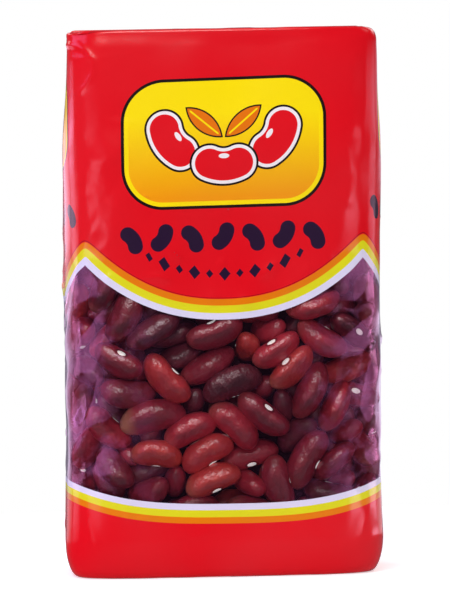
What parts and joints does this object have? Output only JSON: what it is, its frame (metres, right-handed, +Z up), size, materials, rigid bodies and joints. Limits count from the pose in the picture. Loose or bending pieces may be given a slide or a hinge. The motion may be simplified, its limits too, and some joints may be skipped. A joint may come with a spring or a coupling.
{
  "type": "bag of dried kidney beans",
  "caption": "Brick-shaped printed film bag of dried kidney beans, folded flat top and base, clear band showing the beans, lap seam at the back.",
  "frame": {"origin": "middle of the footprint, on the surface the bag stands on", "axes": "+Z up from base to folded top, +X across the front, front faces -Y"},
  "size_m": [0.1064, 0.0706, 0.18],
  "materials": {
    "film": "glossy red printed film with yellow, orange and pale bands and a clear window",
    "bean_skin": "dark red dried bean skin with a soft sheen",
    "bean_eye": "matt off-white bean eye"
  },
  "bodies": {
    "root": {"bag": "film"}
  },
  "joints": []
}
